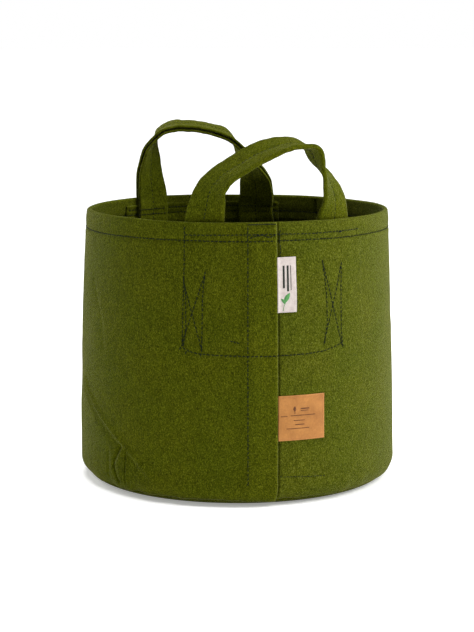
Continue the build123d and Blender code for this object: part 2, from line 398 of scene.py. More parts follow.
def plate(name, angles, heights, outer, inner, material):
    """A closed curved plate between two faces, given as functions of angle and height."""
    grid_a, grid_h = np.meshgrid(angles, heights)
    front = outer(grid_a, grid_h).reshape(-1, 3)
    back = inner(grid_a, grid_h).reshape(-1, 3)
    count = grid_a.size
    grid = np.arange(count).reshape(grid_a.shape)
    quads = np.stack([grid[:-1, :-1], grid[:-1, 1:], grid[1:, 1:], grid[1:, :-1]], axis=-1)
    faces = quads.reshape(-1, 4).tolist()
    faces += [[i + count for i in reversed(face)] for face in faces]
    rim = [*grid[0], *grid[1:, -1], *grid[-1, -2::-1], *grid[-2:0:-1, 0]]
    rim = [int(i) for i in rim]
    for a, b in zip(rim, rim[1:] + rim[:1]):
        faces.append([b, a, a + count, b + count])
    return make_object(name, np.concatenate([front, back]), faces, material)


def stitches(name, rows, material, seed, radius=thread_radius):
    """Short threads with sunken ends. A row holds their starts, ends and outward directions."""
    rng = np.random.default_rng(seed)
    starts, ends, ups = (np.concatenate(part) for part in zip(*rows))
    middle = (starts + ends) / 2
    along = ends - starts
    length = np.linalg.norm(along, axis=1, keepdims=True)
    along = along / length
    side = unit(np.cross(ups, along))
    up = np.cross(along, side)
    lean = rng.normal(0.0, 0.13, (len(starts), 1))
    # Along a stitch: share of its length from the middle, lift and thickness in radii
    places = [(-0.5, -0.75, 0.6), (-0.36, 0.05, 1.0), (0.0, 0.28, 1.08), (0.36, 0.05, 1.0), (0.5, -0.75, 0.6)]
    rings = []
    for share, lift, thick in places:
        centre = middle + along * length * share + up * lift * radius * 1.4
        centre = centre + side * lean * share * 2.2
        for turn in range(thread_sides):
            a = 2 * math.pi * turn / thread_sides
            rings.append(centre + (side * math.cos(a) + up * math.sin(a)) * radius * thick)
    points = np.stack(rings, axis=1).reshape(-1, 3)
    each = len(places) * thread_sides
    pattern = tube_faces(thread_sides, len(places))
    pattern += [list(reversed(range(thread_sides))), list(range(each - thread_sides, each))]
    faces = []
    for n in range(len(starts)):
        faces += [[n * each + i for i in face] for face in pattern]
    return make_object(name, points, faces, material)


def sew(surface, path, seed, pitch=stitch_pitch, length=stitch_length, lift=stitch_lift):
    """The ends and directions of the stitches along a path of angles and heights."""
    rng = np.random.default_rng(seed)
    path = np.array(path, float)
    fine_step = 0.7
    fine = []
    for start, end in zip(path, path[1:]):
        across, up = end - start
        count = max(2, int(math.hypot(across * degree, up) / fine_step))
        fine.append(start + (end - start) * (np.arange(count) / count)[:, None])
    fine_a, fine_h = np.concatenate([*fine, path[-1:]]).T
    walked = walk(np.hypot(np.diff(fine_a) * degree, np.diff(fine_h)))
    count = max(1, int(walked[-1] / pitch))
    gap = walked[-1] / count
    first = (np.arange(count) + 0.5) * gap - length / 2 + rng.normal(0.0, 0.16, count)
    last = first + length * rng.uniform(0.88, 1.1, count)
    stray = rng.normal(0.0, 0.09, count)
    tip, out = surface(np.interp(first, walked, fine_a), np.interp(first, walked, fine_h) + stray, lift)
    tail, _ = surface(np.interp(last, walked, fine_a), np.interp(last, walked, fine_h) - stray, lift)
    return tip, tail, out


# Materials

class Nodes:
    """A material's node tree, with short calls for the nodes used here."""

    def __init__(self, name):
        self.material = bpy.data.materials.new(name)
        self.material.use_nodes = True
        self.tree = self.material.node_tree
        self.shader = self.tree.nodes["Principled BSDF"]
        self.place = self.add("ShaderNodeTexCoord").outputs["Object"]

    def put(self, socket, value):
        """Link another node's output to a socket, or set the socket to a plain value."""
        if isinstance(value, bpy.types.NodeSocket):
            self.tree.links.new(value, socket)
        else:
            socket.default_value = value

    def add(self, kind, inputs=None, **settings):
        node = self.tree.nodes.new(kind)
        for key, value in settings.items():
            setattr(node, key, value)
        for key, value in (inputs or {}).items():
            self.put(node.inputs[key], value)
        return node

    def stretched(self, scale, turn=(0.0, 0.0, 0.0)):
        inputs = {"Scale": scale, "Rotation": turn, "Vector": self.place}
        return self.add("ShaderNodeMapping", inputs).outputs["Vector"]

    def split(self):
        return self.add("ShaderNodeSeparateXYZ", {"Vector": self.place}).outputs

    def noise(self, scale, detail=3.0, rough=0.55, vector=None, bend=0.0):
        inputs = {"Scale": scale, "Detail": detail, "Roughness": rough, "Distortion": bend}
        inputs["Vector"] = vector or self.place
        return self.add("ShaderNodeTexNoise", inputs).outputs["Fac"]

    def ramp(self, value, *stops):
        """Colours, or greys as one number, along a value between 0 and 1."""
        node = self.add("ShaderNodeValToRGB", {"Fac": value})
        elements = node.color_ramp.elements
        while len(elements) < len(stops):
            elements.new(0.5)
        for element, (place, colour) in zip(elements, stops):
            element.position = place
            element.color = (*colour, 1.0) if len(colour) == 3 else (colour[0],) * 3 + (1.0,)
        return node.outputs["Color"]

    def multiply(self, amount, first, second):
        node = self.add("ShaderNodeMix", data_type="RGBA", blend_type="MULTIPLY")
        named = {socket.name: socket for socket in node.inputs if socket.enabled}
        for name, value in (("Factor", amount), ("A", first), ("B", second)):
            self.put(named[name], value)
        return [socket for socket in node.outputs if socket.enabled][0]

    def maths(self, kind, first, second=0.0):
        return self.add("ShaderNodeMath", {0: first, 1: second}, operation=kind).outputs["Value"]

    def paint(self, colour):
        self.put(self.shader.inputs["Base Color"], colour)

    def bump(self, height, distance, strength=1.0):
        node = self.add("ShaderNodeBump", {"Distance": distance, "Strength": strength, "Height": height})
        self.put(self.shader.inputs["Normal"], node.outputs["Normal"])

    def set(self, **values):
        for key, value in values.items():
            self.shader.inputs[key.replace("_", " ")].default_value = value


def felt_material(name, tone=1.0, paint_key_light=False):
    """Needle-punched felt: short tangled fibres, mottled olive green. A tone above 1 paints light into a
    lighter copy, and one below 1 paints shade into a darker copy. For the wall's sheet, painted light makes
    it paler and whiter for about half a turn right of the front seam, where the key light falls, and a
    painted highlight runs along the lap's raw edge."""
    n = Nodes(name)
    upright = n.stretched((1.0, 1.0, 0.6))
    slanted = n.stretched((1.0, 1.0, 0.8), (0.5, 0.3, 0.2))
    fibre = n.noise(900.0, 3.0, 0.75, upright, 0.5)
    tangle = n.noise(1500.0, 2.0, 0.7, slanted, 0.8)
    mottle = n.noise(210.0, 4.0, 0.6, upright)
    cloud = n.noise(24.0, 3.0, 0.5)
    dark, middle, light = (0.0250, 0.0310, 0.0006), (0.0545, 0.0640, 0.0014), (0.100, 0.113, 0.0065)
    dark, middle, light = (tuple(c * tone for c in colour) for colour in (dark, middle, light))
    base = n.ramp(fibre, (0.34, dark), (0.5, middle), (0.66, light))
    speck = n.ramp(tangle, (0.37, (0.44,)), (0.5, (1.0,)), (0.63, (1.56,)))
    colour = n.multiply(0.95, base, speck)
    patchy = n.ramp(mottle, (0.3, (0.86,)), (0.7, (1.14,)))
    colour = n.multiply(0.9, colour, patchy)
    worn = n.ramp(cloud, (0.3, (0.92, 0.95, 0.90)), (0.7, (1.08, 1.04, 1.10)))
    colour = n.multiply(1.0, colour, worn)
    # Painted key light: paler, whiter felt right of the front seam, fading out round the back
    if paint_key_light:
        split = n.split()
        back = n.maths("MULTIPLY", split["Y"], -1.0)
        turn = n.maths("ARCTAN2", split["X"], back)
        from_seam = n.maths("SUBTRACT", turn, math.radians(seam_edge + 0.15))
        share = n.maths("FRACT", n.maths("DIVIDE", from_seam, 2 * math.pi))
        # Painted highlight: a thin paler line along the lap's raw edge, just left of the seam
        edge = 1 - 0.62 / 360
        painted_key_light = n.ramp(
            share, (0.0, (1.12, 1.12, 2.0)), (0.2, (1.20, 1.20, 3.6)), (0.5, (1.05, 1.05, 1.6)),
            (0.75, (1.0, 1.0, 1.0)), (edge - 0.0004, (1.0, 1.0, 1.0)), (edge, (1.5, 1.5, 2.5)),
        )
        colour = n.multiply(1.0, colour, painted_key_light)
    n.paint(colour)
    height = n.maths("ADD", n.maths("MULTIPLY", fibre, 0.6), n.maths("MULTIPLY", tangle, 0.4))
    height = n.maths("ADD", height, n.maths("MULTIPLY", mottle, 0.3))
    n.bump(height, 0.0010, 1.0)
    n.set(Roughness=0.95, Specular_IOR_Level=0.03, Sheen_Weight=0.34, Sheen_Roughness=0.09)
    n.set(Sheen_Tint=(0.92, 0.90, 0.46, 1.0))
    return n.material


def uneven_material(name, grain, dark, light, depth, strength, **look):
    """A surface whose colour and height vary with one fine noise."""
    n = Nodes(name)
    fleck = n.noise(*grain)
    n.paint(n.ramp(fleck, (0.3, dark), (0.7, light)))
    n.bump(fleck, depth, strength)
    n.set(**look)
    return n.material


def ink_material(name, dark, light):
    """A printed or burnt mark."""
    grain = (900.0, 3.0, 0.6)
    return uneven_material(name, grain, dark, light, 0.0001, 0.4, Roughness=0.75, Specular_IOR_Level=0.2)


def ribbon_material(name, dark, light):
    """Woven satin ribbon: the ribs of a plain weave, across and up."""
    n = Nodes(name)
    pitch = 0.0009
    split = n.split()
    across = n.maths("SINE", n.maths("MULTIPLY", split["X"], 2 * math.pi / pitch))
    up = n.maths("SINE", n.maths("MULTIPLY", split["Z"], 2 * math.pi / pitch))
    weave = n.maths("MULTIPLY", across, up)
    soil = n.noise(300.0, 4.0, 0.6)
    mixed = n.maths("ADD", n.maths("MULTIPLY", weave, 0.16), soil)
    n.paint(n.ramp(mixed, (0.25, dark), (0.75, light)))
    n.bump(weave, 0.0001, 0.8)
    n.set(Roughness=0.62, Specular_IOR_Level=0.35, Sheen_Weight=0.15)
    return n.material


def leather_material():
    """Tan split leather with a fine pebbled grain."""
    n = Nodes("tan_leather")
    inputs = {"Scale": 900.0, "Vector": n.place}
    pores = n.add("ShaderNodeTexVoronoi", inputs, feature="DISTANCE_TO_EDGE").outputs["Distance"]
    cloud = n.noise(75.0, 4.0, 0.62)
    fine = n.noise(520.0, 4.0, 0.6)
    colour = n.ramp(cloud, (0.3, (0.325, 0.126, 0.022)), (0.7, (0.455, 0.192, 0.040)))
    grain = n.ramp(fine, (0.3, (0.86,)), (0.7, (1.10,)))
    n.paint(n.multiply(0.8, colour, grain))
    n.bump(n.maths("ADD", n.maths("MULTIPLY", pores, 0.8), fine), 0.0003, 0.6)
    n.set(Roughness=0.58, Specular_IOR_Level=0.35)
    return n.material


wall_felt = felt_material("wall_felt", 1.0, True)
# Painted light: the straps' felt is a lighter copy, standing in for their tops lit from above
lit_strap_felt = felt_material("strap_felt", 1.04)
# Painted shade: a darker copy of the felt for the base and patches inside the bag
shaded_inner_felt = felt_material("shaded_inner_felt", 0.92)
thread = uneven_material(
    "sewing_thread", (2600.0, 2.0, 0.6), (0.0015, 0.004, 0.002), (0.007, 0.014, 0.008),
    0.0002, 0.6, Roughness=0.7, Specular_IOR_Level=0.12,
)
ribbon = ribbon_material("white_ribbon", (0.475, 0.40, 0.37), (0.64, 0.57, 0.53))
leather = leather_material()
dark_print = ink_material("dark_print", (0.010, 0.014, 0.010), (0.030, 0.036, 0.028))
green_print = ink_material("green_print", (0.06, 0.20, 0.06), (0.10, 0.30, 0.09))
burnt_mark = ink_material("burnt_mark", (0.085, 0.030, 0.012), (0.160, 0.062, 0.024))
tan_thread = ink_material("tan_thread", (0.33, 0.125, 0.042), (0.46, 0.19, 0.07))


# Wall: one sheet with a turned-in hem, a lapped seam and a turned-in lower edge

def wall_columns():
    """Angles of the wall's columns, close together where it is sewn or creased."""
    spans = (
        (-136.0, -92.0, 2.4), (-92.0, -68.0, 0.5), (-68.0, -64.0, 0.6), (-64.0, -54.0, 0.25),
        (-54.0, -50.0, 0.6), (-50.0, -36.0, 0.8), (-36.0, 40.0, 0.55), (40.0, 147.0, 2.4),
        (147.0, 224.0, 1.2),
    )
    lap_edge = seam_edge + np.array([-0.35, -0.22, -0.1, 0.0, 0.1, 0.2, 0.3, 0.42, 0.54, 0.66, 0.8, 0.95])
    hem_meeting = np.array([131.9, 132.3, 132.7, 133.1, 133.5])
    columns = [np.arange(*span) for span in spans]
    return np.unique(np.round(np.concatenate([*columns, lap_edge, hem_meeting]), 2))


def wall_sections():
    """The closed outline of the wall's section: radius, height, outward and upward
    direction, height at which the relief is read, and the shares of both reliefs."""
    rows = []

    def upright(z, inset, outer, inner):
        rows.append((wall_radius(z, inset), z, 1.0, 0.0, z, outer, inner))

    def foot(distance, angle, shift, outer, inner):
        at = foot_radius - foot_radius * math.sin(angle)
        place = foot_point(distance, angle, shift)
        rows.append((*place, math.cos(angle), -math.sin(angle), at, outer, inner))

    for angle in np.linspace(base_seam_angle, 0.0, 13)[:-1]:
        foot(foot_radius, angle, 0.0, 1.0, 0.0)
    fold_z = bag_height - fold_inset
    low_rows = np.arange(foot_radius, 140.0, 2.6)
    high_rows = np.arange(140.0, fold_z, 1.35)
    for z in np.concatenate([low_rows, high_rows]):
        upright(z, 0.0, 1.0, 0.0)
    fold_r = wall_radius(fold_z, fold_inset)
    for angle in np.radians(np.linspace(0, 180, 11)):
        share = (1 + math.cos(angle)) / 2
        r = fold_r + fold_inset * math.cos(angle)
        z = fold_z + fold_inset * math.sin(angle)
        rows.append((r, z, 1.0, 0.0, z, share, 1 - share))
    for z in np.linspace(fold_z - 1.5, hem_low + 0.6, 12):
        upright(z, hem_stack, 0.0, 1.0)
    for inset, rise in ((hem_stack - 0.3, 0.0), (hem_stack - 1.2, -0.2), (felt + 0.5, 0.1)):
        upright(hem_low + rise, inset, 0.0, 1.0)
    for z in np.linspace(hem_low - 0.7, foot_radius, 46):
        upright(z, felt, 0.0, 1.0)
    shoulder = base_seam_angle - math.asin(felt / foot_inner)
    for angle in np.linspace(0.12, shoulder, 6):
        foot(foot_inner, angle, 0.0, 0.0, 1.0)
    edge = foot_inner - base_allowance
    for distance, shift in ((edge + 0.4, felt), (edge, felt / 2), (edge + 0.4, 0.1)):
        foot(distance, base_seam_angle, shift, 0.0, 0.6)
    foot(foot_inner, base_seam_angle, 0.0, 0.0, 0.8)
    return np.array(rows)


def splice(angle, height):
    """The small dark gap inside the rear rim, where the hem's two ends meet."""
    return -3.6 * hump(angle, 132.7, 0.6) * window(height, 247.5, 266.0, 0.8)


def build_wall():
    columns = wall_columns()
    r, z, out, up, at, outer_share, inner_share = wall_sections().T
    angle = columns[None, :]
    height = at[:, None]
    outer = relief(angle, height)
    inner = sag(angle, height) * np.ones_like(outer)
    inner = inner - splice(angle, height)
    inner += 1.1 * hump(height, hem_row, 1.3) - 0.35 * hump(height, 259.0, 4.0)
    moved = outer * outer_share[:, None] + inner * inner_share[:, None]
    rim_wave = 0.8 * lumps(angle, 0.0, 75.0, 41) + 0.3 * lumps(angle, 0.0, 22.0, 43)
    lifted = rim_wave * ramp(height, 235.0, 268.0) - 0.5
    points_r = r[:, None] + moved * out[:, None]
    points_z = z[:, None] + moved * up[:, None] + lifted * ramp(height, 235.0, 268.0)
    points = round_point(angle, points_r, points_z).reshape(-1, 3)
    return make_object("felt_wall", points, tube_faces(len(columns), len(r), True), wall_felt)


def build_base():
    """Round base panel with its edge turned up into the bag."""
    columns = np.arange(0.0, 360.0, 3.0)
    hole = 6.0                 # the two faces start this far out and are closed by one face each
    outline = [(r, 0.0) for r in np.linspace(hole, foot_centre, 18)]
    for angle in np.linspace(math.radians(84), base_seam_angle + 0.006, 7):
        outline.append(foot_point(foot_radius, angle))
    edge = foot_inner - base_allowance
    for distance, shift in ((foot_inner, 0.0), (edge, 0.0), (edge, felt)):
        outline.append(foot_point(distance, base_seam_angle, -hairline - shift))
    shoulder = base_seam_angle + math.asin((felt + hairline) / foot_inner)
    for angle in np.linspace(shoulder, math.radians(88), 6):
        outline.append(foot_point(foot_inner, angle))
    outline += [(r, felt) for r in np.linspace(foot_centre, hole, 18)]
    outline = np.array(outline)
    r = outline[:, :1]
    rise = 0.5 + 0.5 * lumps(columns[None, :], r, 30.0, 61)
    middle = 1 - ramp(r, 90.0, 130.0)
    z = outline[:, 1:] + 0.9 * rise * middle * ramp(r, 0.0, 20.0)
    points = round_point(columns[None, :], r, z).reshape(-1, 3)
    count, rows = len(columns), len(outline)
    faces = tube_faces(count, rows)
    faces.append(list(reversed(range(count))))
    faces.append([(rows - 1) * count + c for c in range(count)])
    return make_object("felt_base", points, faces, shaded_inner_felt)


def build_patch(name, turn):
    """The reinforcement inside the wall, under one handle."""
    angles = np.linspace(turn - patch_left, turn + patch_right, 84)
    heights = np.concatenate([np.linspace(patch_low, 236.0, 34), np.linspace(237.5, patch_high, 22)])
    soft = 1.2                 # width of the edge's rounding in height
    end = math.degrees(1.6 / belly_radius)

    def face(depth, push):
        def made(a, h):
            across = window(a, angles[0] + end, angles[-1] - end, end)
            rim = 1 - across * window(h, patch_low + soft, patch_high - soft, soft)
            inset = felt + over_hem(h) + hairline + depth
            dimple = 0.9 * sum(hump(h, row, 1.4) for row in (hem_row, top_row, patch_row))
            r = wall_radius(h) - inset + sag(a, h) + push * (0.45 * rim + dimple)
            return round_point(a, r, h)
        return made

    return plate(name, angles, heights, face(0.0, 0.0), face(felt, 1.0), shaded_inner_felt)


# Straps: a strip folded once along its length, with both raw edges on the outer side
# of the handle, and sewn down its middle

layer = felt / 2 + fold_gap / 2
fold_place = strap_width / 2 - fold_inset
raw_edge = strap_width / 2


def strip_outline(gape):
    """Both faces of the folded strip's section, as pairs of width and depth."""
    def apart(w):
        return layer + gape * ramp(w, 4.0, raw_edge) ** 2

    path = [(w, -apart(w), 0.0, -1.0) for w in np.linspace(raw_edge, -fold_place, 19)[:-1]]
    for angle in np.radians(np.linspace(270, 90, 8)):
        c, s = math.cos(angle), math.sin(angle)
        path.append((-fold_place + layer * c, layer * s, c, s))
    path += [(w, apart(w), 0.0, 1.0) for w in np.linspace(-fold_place, raw_edge, 19)[1:]]
    path = np.array(path)
    outer = path[:, :2] + path[:, 2:] * felt / 2
    inner = path[:, :2] - path[:, 2:] * felt / 2
    for side in (0, -1):
        outer[side, 0] -= 0.5
        inner[side, 0] -= 0.2
    return outer, inner


def smooth_path(knots, spacing):
    """A centripetal curve through rows of numbers, the first three being its points."""
    knots = np.asarray(knots, float)
    gaps = np.linalg.norm(np.diff(knots[:, :3], axis=0), axis=1) ** 0.5
    times = walk(gaps)
    slopes = np.gradient(knots, times, axis=0)
    out = []
    for k in range(len(knots) - 1):
        span = times[k + 1] - times[k]
        count = max(2, int(round(np.linalg.norm(knots[k + 1, :3] - knots[k, :3]) / spacing)))
        t = (np.arange(count) / count)[:, None]
        h00 = 2 * t**3 - 3 * t**2 + 1
        h10 = t**3 - 2 * t**2 + t
        h01 = -2 * t**3 + 3 * t**2
        h11 = t**3 - t**2
        out.append(h00 * knots[k] + h10 * span * slopes[k] + h01 * knots[k + 1] + h11 * span * slopes[k + 1])
    out.append(knots[-1:])
    return np.concatenate(out)


def tail_knots(turn, side, height_list, rim_x):
    """Centres of a strap's end inside the bag, up to where it leaves the rim."""
    sewn_angle = turn + side * leg_angle
    rim_angle = math.degrees(math.asin(rim_x / tail_radius))
    if abs(turn) > 90:
        rim_angle = 180 - rim_angle
    rows = []
    for z in height_list:
        angle = sewn_angle + ramp(z, 200.0, 262.0) * wrapped(rim_angle - sewn_angle)
        inset = felt + over_hem(z, 1.0) + 2 * hairline + felt + layer * 2
        r = wall_radius(z) - inset + sag(angle, z)
        rows.append(round_point(angle, r, z))
    return rows


class Strap:
    """One handle from end to end. Stations give x, z, turn about the strap's own
    line, share of its full width, and how sharply its middle is creased."""

    def __init__(self, name, turn, stations, plane_y, gape, seed):
        self.name = name
        self.seed = seed
        self.gape = gape
        heights = (tail_low, 165.0, 182.0, 200.0, 218.0, 232.0, 240.0, 245.0, 252.0, 260.0)
        front = abs(turn) < 90
        left_side = -1 if front else 1
        left = tail_knots(turn, left_side, heights, stations[0][0])
        right = tail_knots(turn, -left_side, heights, stations[-1][0])
        roll_left = (stations[0][2], 1.0, 0.0, 1.0)
        roll_right = (stations[-1][2], 1.0, 0.0, 1.0)
        knots = [(*p, *roll_left) for p in left]
        for x, z, roll, width, crease in stations:
            inside = 1.0 - float(ramp(z, 268.0, 296.0))
            knots.append((x, plane_y, z, roll, width, crease, inside))
        knots += [(*p, *roll_right) for p in reversed(right)]
        path = smooth_path(knots, 2.4)
        self.centre = path[:, :3]
        roll = np.radians(path[:, 3])[:, None]
        self.width = path[:, 4]
        self.crease = path[:, 5]
        self.inside = np.clip(path[:, 6], 0.0, 1.0)
        along = unit(np.gradient(self.centre, axis=0))
        rise = unit(np.cross(np.array([0.0, -1.0, 0.0]), along))
        back = np.cross(along, rise)
        self.across = np.cos(roll) * rise + np.sin(roll) * back
        self.face = np.cross(along, self.across)
        self.walked = walk(np.linalg.norm(np.diff(self.centre, axis=0), axis=1))
        self.outward = 1.0 if front else -1.0

    def points(self, place, w, n):
        """Points at widths w and depths n of the section at each place along the strap."""
        w = w * (1 + 0.025 * lumps(self.walked[place] * 2, w * 0 + self.seed, 60.0, self.seed))
        w = w * self.width[place]
        wobble = 0.55 * lumps(self.walked[place] * 3, w, 48.0, self.seed + 1)
        wobble = wobble + 0.16 * lumps(self.walked[place] * 3, w, 16.0, self.seed + 2)
        free = 1 - 0.6 * self.inside[place]
        bow = -self.outward * w**2 / (2 * tail_radius) * self.inside[place]
        roof = -np.abs(w) * np.tan(np.radians(self.crease[place]))
        z = self.centre[place][..., 2]
        rows = sum(hump(z, row, 1.6) for row in (top_row, hem_row, tail_row)) * self.inside[place]
        seam = 1 - (0.28 * hump(w, 0.0, 1.7) + 0.42 * rows) * (np.abs(n) > felt / 2)
        depth = n * seam + wobble * free + bow + roof
        return self.centre[place] + self.across[place] * w[..., None] + self.face[place] * depth[..., None]

    def build(self):
        outer, inner = strip_outline(self.gape)
        section = np.concatenate([outer, inner[::-1]])
        count = len(self.centre)
        size = len(section)
        places = [np.full(size, k) for k in range(count)]
        points = np.concatenate([self.points(place, section[:, 0], section[:, 1]) for place in places])
        faces = turned_over(tube_faces(size, count))
        last = (count - 1) * size
        for i in range(len(outer) - 1):
            quad = [i, i + 1, size - 2 - i, size - 1 - i]
            faces.append(quad)
            faces.append([last + j for j in reversed(quad)])
        return make_object(self.name, points, faces, lit_strap_felt)

    def seam(self, side, low, high):
        """Stitches down the middle of one face, between two lengths along the strap."""
        rng = np.random.default_rng(self.seed + 7 + int(side))
        count = int((high - low) / stitch_pitch)
        first = low + np.arange(count) * stitch_pitch + rng.normal(0.0, 0.15, count)
        last = first + stitch_length * rng.uniform(0.9, 1.1, count)
        ends = []
        for walked in (first, last):
            place = np.clip(np.searchsorted(self.walked, walked), 1, len(self.walked) - 1)
            share = (walked - self.walked[place - 1]) / (self.walked[place] - self.walked[place - 1])
            w = rng.normal(0.0, 0.12, count)
            n = np.full(count, side * fold_inset)
            before = self.points(place - 1, w, n)
            after = self.points(place, w, n)
            ends.append(before + (after - before) * share[:, None])
        middle = np.clip(np.searchsorted(self.walked, (first + last) / 2), 0, len(self.walked) - 1)
        return ends[0], ends[1], self.face[middle] * side


front_stations = [
    (-61.0, 268, -24, 1.0, 0), (-57.8, 285, -38, 1.0, 0), (-52.8, 299.5, -57, 0.98, -2),
    (-41.0, 311.8, -66, 0.96, -3), (-28.2, 319.8, -68, 0.98, -4), (-14.6, 327, -68, 1.0, -5),
    (2.6, 334.7, -71, 1.0, -5), (18.6, 338.5, -79, 1.0, -5), (31.0, 338.8, -84, 0.96, -4),
    (41.0, 335.6, -97, 0.92, -4), (44.6, 330.8, -101, 0.88, -4), (47.8, 322, -94, 0.84, -4),
    (51.6, 315, -80, 0.9, -3), (55.0, 310, -71, 0.95, -2), (60.2, 299.5, -58, 0.98, 0),
    (63.4, 290, -48, 1.0, 0), (64.0, 279, -36, 1.0, 0), (63.0, 268, -26, 1.0, 0),
]
rear_stations = [
    (-63.5, 268, 24, 1.0, 0), (-65.5, 288, 35, 1.0, -2), (-66.0, 303, 43, 0.97, -3),
    (-64.5, 318, 55, 0.93, -4), (-60.5, 330, 75, 0.92, -3), (-56.0, 337.5, 86, 0.95, -2),
    (-49.0, 342, 93, 0.97, -2), (-40.0, 345.4, 98, 1.0, -2), (-18.0, 344.8, 100, 1.0, -2),
    (2.0, 341, 102, 1.0, -2), (18.0, 335.6, 104, 1.0, -2), (27.5, 327, 97, 0.97, -2),
    (34.0, 316, 85, 0.95, -3), (41.0, 304, 72, 0.96, -4), (46.5, 293, 58, 0.98, -3),
    (49.0, 284, 42, 1.0, -1), (50.0, 276, 30, 1.0, 0), (50.5, 268, 24, 1.0, 0),
]


# Marks on the labels: a plain leaf and plain bars, with no lettering

def long_shape(length, bend, count, half_width):
    """Places along a bent shape's axis, with its two edges there."""
    stations = []
    for t in np.linspace(0.0, 1.0, count):
        middle = bend * math.sin(math.pi * t)
        stations.append(((t - 0.5) * length, middle - half_width(t), middle + half_width(t)))
    return stations


def leaf(length, width, bend):
    """A pointed leaf."""
    return long_shape(length, bend, 17, lambda t: width / 2 * math.sin(math.pi * t) ** 0.9 + 0.02)


def bar(length, width, bend=0.0):
    """A plain line of even width."""
    return long_shape(length, bend, max(3, int(length)), lambda t: width / 2)


def marks(name, shapes, surface, depth, lift, material):
    """Flat marks laid at a depth on a surface, each with its place and its turn in degrees."""
    points, faces = [], []
    high_up, sunk = depth + lift, depth + (lift - 0.25)
    for stations, place, turn in shapes:
        c, s = math.cos(math.radians(turn)), math.sin(math.radians(turn))
        base = len(points)
        for x, low, high in stations:
            for y, at in ((low, high_up), (high, high_up), (high, sunk), (low, sunk)):
                points.append(surface(place[0] + x * c - y * s, place[1] + x * s + y * c, at))
        shape = turned_over(tube_faces(4, len(stations))) + [[0, 1, 2, 3]]
        end = 4 * (len(stations) - 1)
        shape.append([end + 3, end + 2, end + 1, end])
        faces += [[base + i for i in face] for face in shape]
    return make_object(name, points, faces, material)


# Build the pieces

wall = build_wall()
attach(wall, "bag")
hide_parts("wall_panel")

base = build_base()
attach(base, "bag")
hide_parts("base_panel")

for side, turn in (("front", 0.0), ("rear", rear_turn)):
    patch = build_patch(f"{side}_patch", turn)
    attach(patch, "bag")
    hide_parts(f"{side}_reinforcement_patch")

fold_low, fold_high = 0.268, 0.286     # heights in metres of the ends of a line across each strap, which nothing below uses
for side, turn, stations, y, gape, seed in (
    ("front", 0.0, front_stations, -128.6, 0.25, 100),
    ("rear", rear_turn, rear_stations, 128.6, 1.0, 200),
):
    strap = Strap(f"{side}_strap", turn, stations, y, gape, seed)
    cloth = strap.build()
    length = float(strap.walked[-1])
    fold_y = math.copysign(0.1277, y)
    start, end = (0.0, fold_y, fold_low), (0.0, fold_y, fold_high)
    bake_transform(cloth)
    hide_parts(f"{side}_handle_loop", f"{side}_handle_left_tail", f"{side}_handle_right_tail")
    rows = [strap.seam(1, 4.0, length - 4.0), strap.seam(-1, 4.0, length - 4.0)]
    row = stitches(f"{side}_strap_stitches", rows, thread, seed)
    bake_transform(row)
    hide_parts(f"{side}_handle_stitching")


def sewn_piece(name, rows, node, seed, radius=thread_radius):
    piece = stitches(name, rows, thread, seed, radius)
    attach(piece, "bag")
    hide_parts(node)


def both_faces(paths, seed, step=0, turn=0.0):
    """Stitches along paths on the outer face and on the innermost one."""
    rows = []
    for n, path in enumerate(paths):
        path = turned_path(path, turn)
        rows += [sew(skin, path, seed + step * n), sew(lining, path, seed + step * n + 1)]
    return rows


hem_path = [(angle, float(hem_line(angle))) for angle in np.arange(0.0, 361.0, 3.0)]
sewn_piece("hem_stitches", both_faces([hem_path], 11), "hem_stitching", 12)

rim_end = [(topstitch, 266), (topstitch - 0.1, 251)]
seam_rows = [sew(skin, seam_row, 21), sew(skin, knot_row, 22, 3.2, 2.7), sew(skin, rim_end, 23, 3.4, 2.9)]
sewn_piece("side_seam_stitches", seam_rows, "side_seam_stitching", 24)

tack = [(topstitch, tack_row), (-4, tack_row + 0.4), (seam_edge - 0.3, tack_row + 0.2)]
tack_rows = [sew(skin, tack, 31, 2.6, 2.4), sew(skin, tack, 32, 3.1, 2.8)]
sewn_piece("rim_tack_stitches", tack_rows, "rim_tack_stitching", 33)

# The front patch's rows, and where its thread crosses the seam, ends in a knot and strays
crossing = [(-8.5, 255.2), (-4.5, 258.2), (-1.5, 255.6), (0.8, 258.4)]
knot = [(26.4, 257.2), (27.6, 258.4), (26.9, 256.9), (27.8, 257.9)]
stray = [(-15.3, 159.4), (-13.6, 158.4), (-12.2, 157.2)]
front_patch = both_faces(front_rows, 41, 3)
front_patch.append(sew(skin, crossing, 52, 3.0, 2.8))
front_patch.append(sew(skin, knot, 53, 0.9, 2.4, 0.7))
front_patch.append(sew(skin, stray, 54, 2.4, 2.3))
sewn_piece("front_patch_stitches", front_patch, "front_patch_stitching", 55)

rear_patch = both_faces(rear_rows, 61, 3, rear_turn)
sewn_piece("rear_patch_stitches", rear_patch, "rear_patch_stitching", 69)

boxes = (
    ("front_left", left_box, 0.0, 71), ("front_right", right_box, 0.0, 81),
    ("rear_left", rear_left_box, rear_turn, 91), ("rear_right", rear_right_box, rear_turn, 101),
)
loose_ends = (
    [(-32.6, 153.0), (-33.2, 149.0)], [(-30.6, 149.4), (-31.0, 144.8)], [(-25.2, 147.5), (-25.6, 143.6)],
)
for name, box, turn, seed in boxes:
    rows = both_faces(box, seed, 2, turn)
    if name == "front_left":
        rows += [sew(skin, path, seed + 9, 3.4, 3.2) for path in loose_ends]
    sewn_piece(f"{name}_box_stitches", rows, f"{name}_box_stitching", seed)

sewn_piece("foot_stitches", [sew(skin, foot_row, 111, 3.3, 2.4)], "foot_stitching", 112, 0.26)


